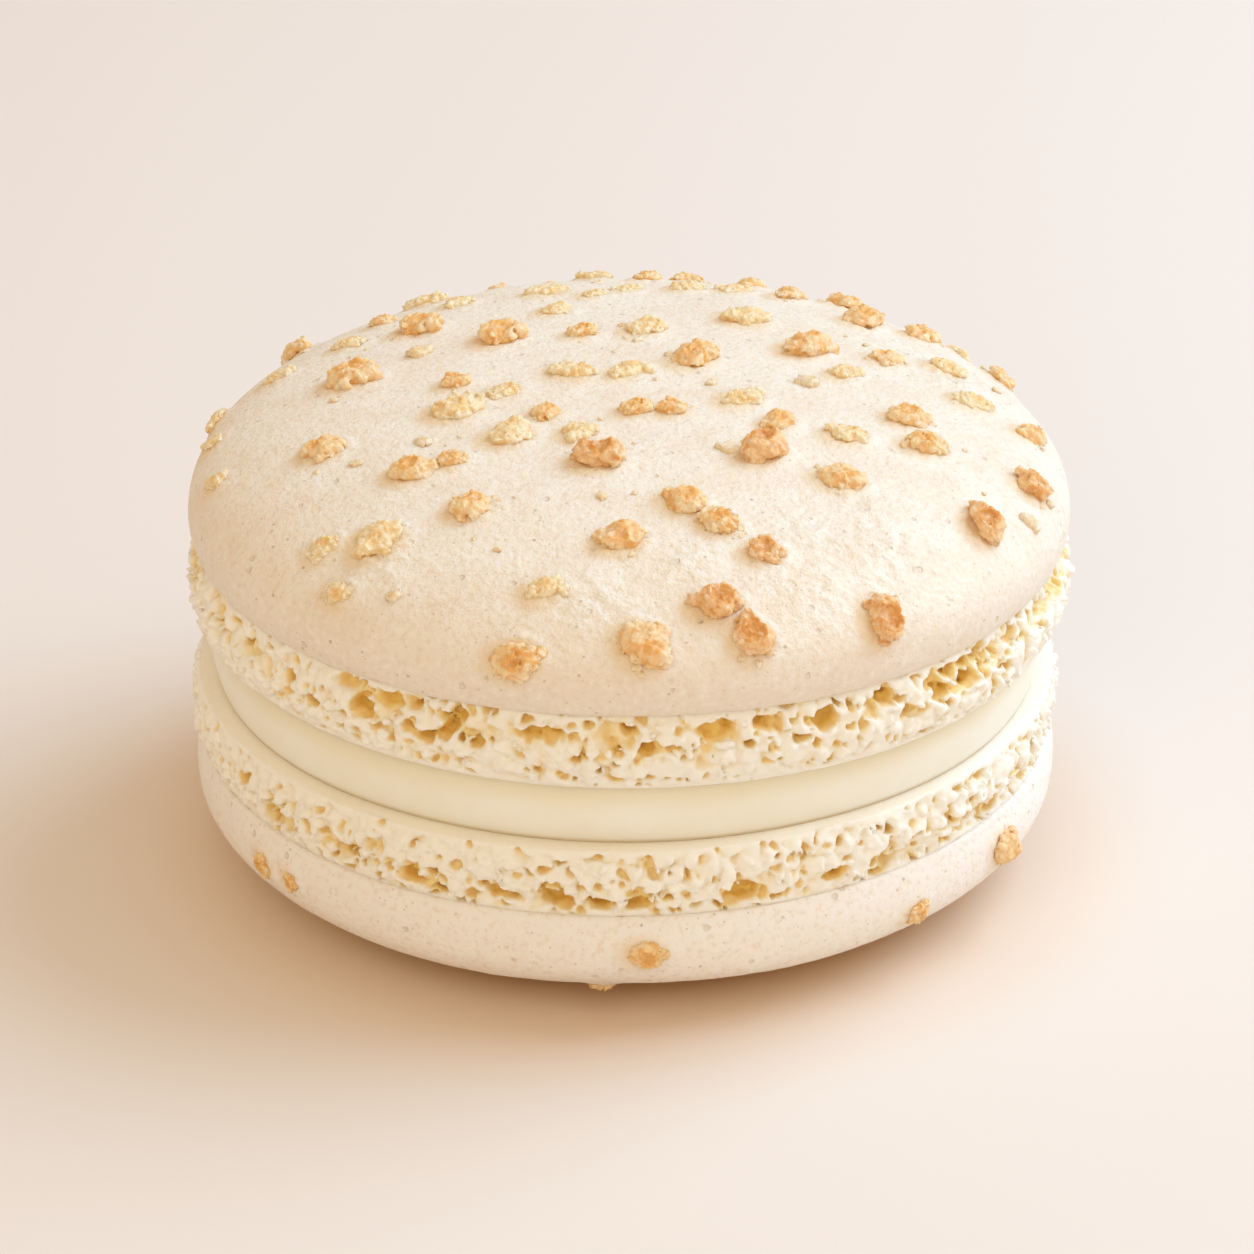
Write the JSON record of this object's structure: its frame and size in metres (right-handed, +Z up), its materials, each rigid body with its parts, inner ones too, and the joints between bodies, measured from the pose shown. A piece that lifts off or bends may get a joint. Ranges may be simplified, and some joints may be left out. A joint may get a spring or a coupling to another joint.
{
  "type": "french macaron",
  "caption": "Pale sandwich macaron: domed, speckled almond shells with torn porous feet, a flat cream filling between them and toasted crumbs baked on top.",
  "frame": {"origin": "centre of the bounding box, on the surface that the macaron rests on", "axes": "+Z up through the shells and the filling, -Y towards the side seen in front, +X to its right"},
  "size_m": [0.045, 0.0454, 0.0259],
  "materials": {
    "almond_shell": "pale ivory baked almond meringue, satin skin with fine grey-brown specks, sponge-like foot with golden pores, toasted crumbs",
    "cream_filling": "smooth pale cream-yellow filling, soft satin"
  },
  "bodies": {
    "root": {"bottom_shell": "almond_shell", "filling": "cream_filling", "top_shell": "almond_shell"}
  },
  "joints": []
}
